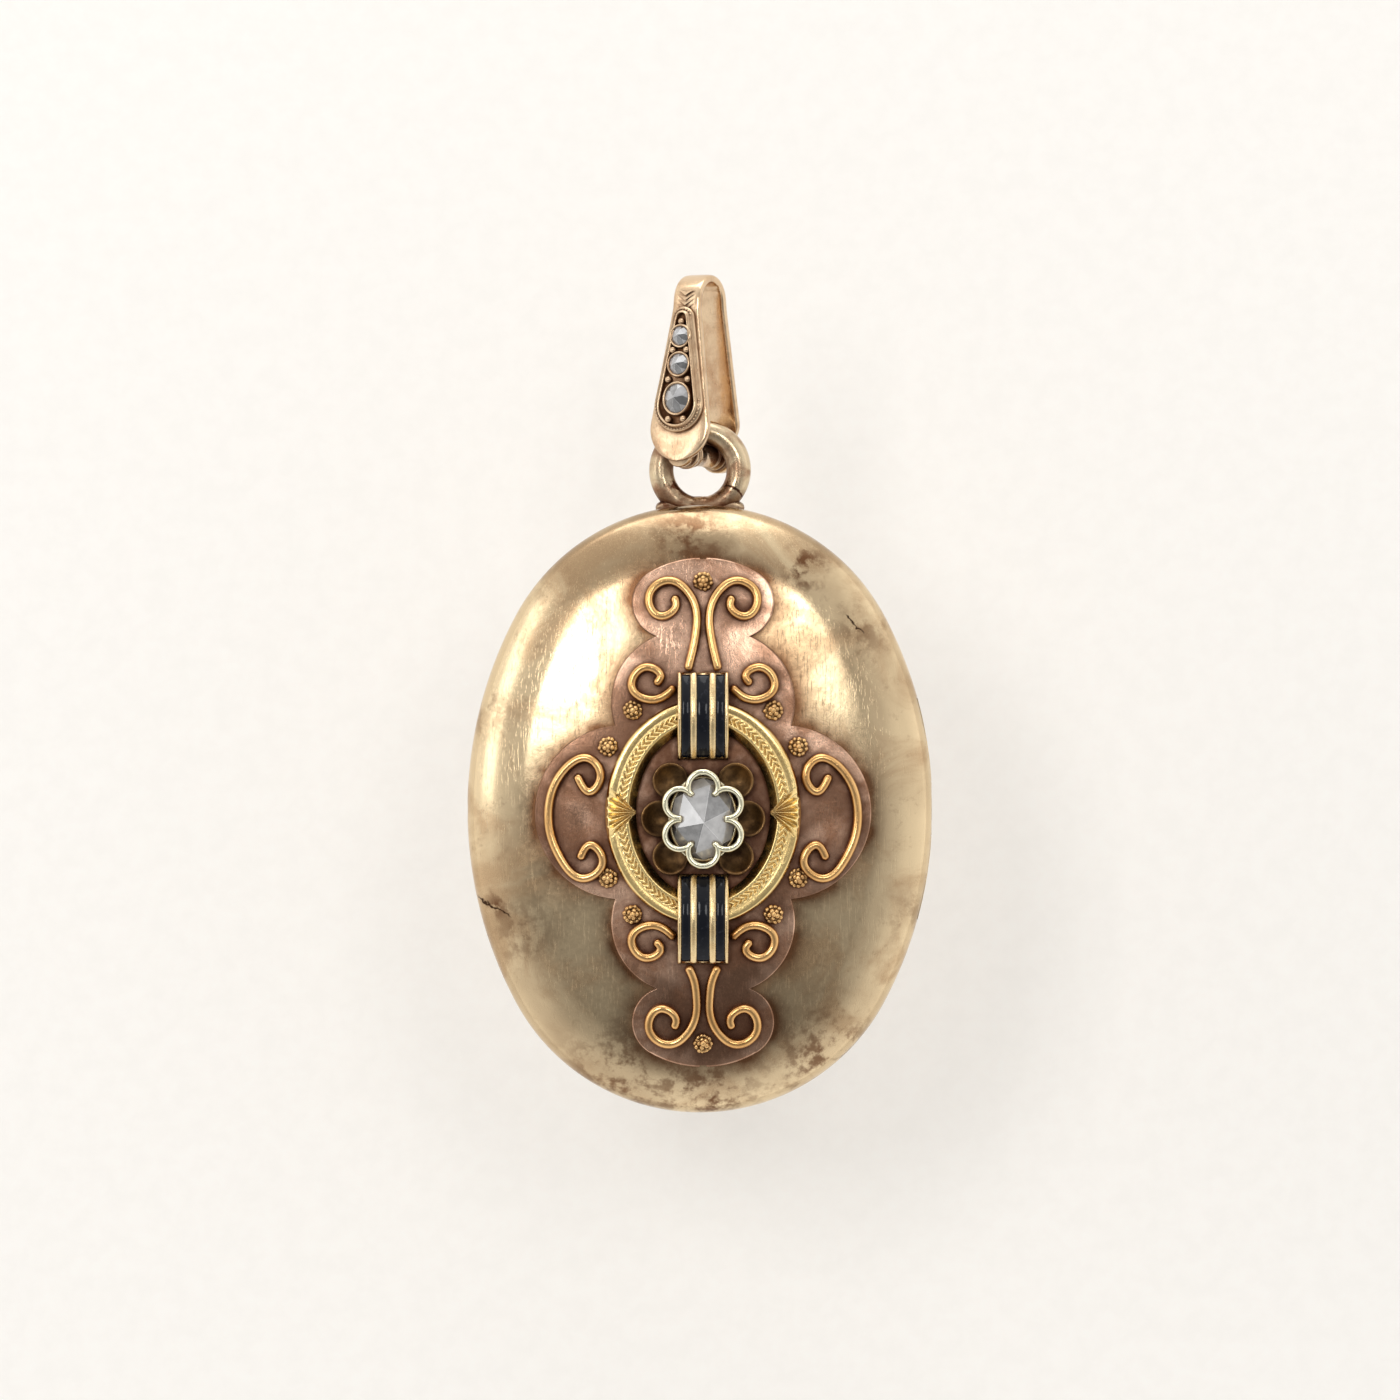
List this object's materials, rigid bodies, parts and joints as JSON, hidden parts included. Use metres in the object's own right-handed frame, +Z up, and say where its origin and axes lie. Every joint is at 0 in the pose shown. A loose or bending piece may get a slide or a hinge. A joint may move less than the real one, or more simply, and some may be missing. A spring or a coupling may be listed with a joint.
{
  "type": "picture locket",
  "caption": "Oval hinged picture locket with scroll and enamel ornament around a rose-cut stone, hung on a jewelled bail.",
  "frame": {"origin": "centre of the bail's saddle, where a chain runs through", "axes": "+Z up, the way the locket hangs; the ornamented front faces -Y; +X to the right seen from the front, the side the hinge is on"},
  "size_m": [0.0302, 0.0122, 0.0546],
  "materials": {
    "case_gold": "polished and worn, fine scratches",
    "plate_gold": "rose gold with brown patina",
    "bright_gold": "engraved and polished",
    "wire_gold": "satin with dark corners",
    "pale_gold": "polished",
    "dark_gold": "dark bronze patina",
    "bail_gold": "polished rose gold",
    "inner_gold": "satin",
    "enamel": "gloss black",
    "stone": "rose cut, grey white",
    "picture_glass": "clear, flat",
    "card": "matt, plain"
  },
  "bodies": {
    "bail": {"bail_loop": "bail_gold", "bail_bezel": "bail_gold", "bail_stone_large": "stone", "bail_stone_medium": "stone", "bail_stone_small": "stone", "bail_grains": "bail_gold", "bail_pin": "bail_gold"},
    "bail_sleeve": {"bail_sleeve": "bail_gold"},
    "case_back": {"back_shell": "case_gold", "snap_rim": "inner_gold", "back_tray": "inner_gold", "back_card": "card", "back_glass": "picture_glass", "back_frame": "inner_gold", "suspension_ring": "pale_gold", "hinge_knuckles_back": "case_gold", "hinge_pin": "case_gold"},
    "cover": {"front_shell": "case_gold", "front_tray": "inner_gold", "front_card": "card", "front_glass": "picture_glass", "front_frame": "inner_gold", "hinge_knuckle_front": "case_gold", "base_plate": "plate_gold", "engraved_ring": "bright_gold", "enamel_bar_top": "bright_gold", "enamel_bar_bottom": "bright_gold", "enamel_top": "enamel", "enamel_bottom": "enamel", "gallery_cups": "dark_gold", "collet": "pale_gold", "center_stone": "stone", "florets": "wire_gold", "scroll_top_left": "wire_gold", "scroll_top_right": "wire_gold", "scroll_bottom_left": "wire_gold", "scroll_bottom_right": "wire_gold", "curl_top_left": "wire_gold", "curl_top_right": "wire_gold", "curl_bottom_left": "wire_gold", "curl_bottom_right": "wire_gold", "c_scroll_left": "wire_gold", "c_scroll_right": "wire_gold"}
  },
  "joints": [
    {"name": "sleeve_swing", "type": "hinge", "parent": "bail", "child": "bail_sleeve", "pos_m": [0, 0, -0.0099], "axis": [0.5, 0.866, 0], "range_deg": [-40, 40]},
    {"name": "case_rock", "type": "hinge", "parent": "bail_sleeve", "child": "case_back", "pos_m": [0, 0, -0.00835], "axis": [1, 0, 0], "range_deg": [-8, 8]},
    {"name": "cover_hinge", "type": "hinge", "parent": "case_back", "child": "cover", "pos_m": [0.01413, -0.00082, -0.03295], "axis": [0, 0, 1], "range_deg": [0, 105]}
  ]
}
